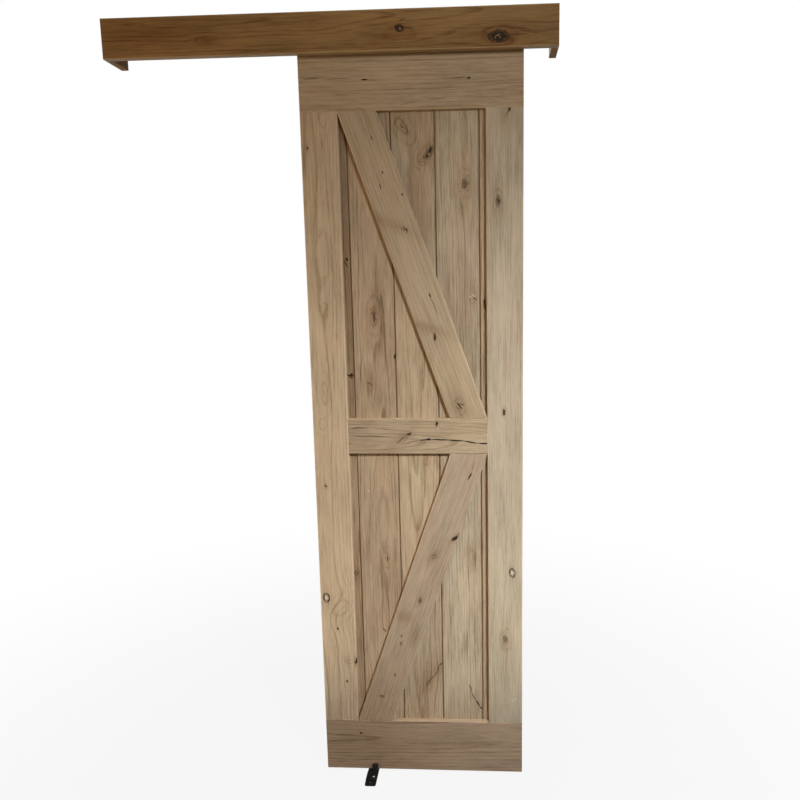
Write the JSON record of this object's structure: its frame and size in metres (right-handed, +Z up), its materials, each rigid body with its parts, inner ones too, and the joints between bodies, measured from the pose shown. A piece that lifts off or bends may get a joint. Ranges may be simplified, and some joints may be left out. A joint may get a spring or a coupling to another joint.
{
  "type": "sliding barn door",
  "caption": "Single sliding plank barn door with a K frame, hung on top-mount rollers from a flat track behind a boxed valance and steered by a black floor guide.",
  "frame": {"origin": "middle of the ledger's back face, on the wall", "axes": "+X along the track to the right as seen from the room, +Y into the wall, +Z up"},
  "size_m": [1.22, 0.1305, 2.224],
  "materials": {
    "frame_alder": "satin",
    "plank_alder": "satin",
    "valance_alder": "satin",
    "black_steel": "matte",
    "roller_nylon": "satin",
    "buffer_rubber": "matte"
  },
  "bodies": {
    "header_and_guide": {"ledger": "valance_alder", "valance_front": "valance_alder", "left_return": "valance_alder", "right_return": "valance_alder", "track": "black_steel", "standoff_1": "black_steel", "standoff_2": "black_steel", "standoff_3": "black_steel", "left_stop": "black_steel", "right_stop": "black_steel", "left_buffer": "buffer_rubber", "right_buffer": "buffer_rubber", "guide_plate": "black_steel", "guide_front_bracket": "black_steel", "guide_back_bracket": "black_steel"},
    "door_leaf": {"top_rail": "frame_alder", "bottom_rail": "frame_alder", "left_stile": "frame_alder", "right_stile": "frame_alder", "mid_rail": "frame_alder", "upper_brace": "frame_alder", "lower_brace": "frame_alder", "plank_1": "plank_alder", "plank_2": "plank_alder", "plank_3": "plank_alder", "plank_4": "plank_alder", "plank_5": "plank_alder", "left_hanger": "black_steel", "right_hanger": "black_steel", "left_roller": "roller_nylon", "right_roller": "roller_nylon", "left_axle": "black_steel", "right_axle": "black_steel"}
  },
  "joints": [
    {"name": "door_slide", "type": "slide", "parent": "header_and_guide", "child": "door_leaf", "axis": [-1, 0, 0], "range_m": [0, 0.43]}
  ]
}
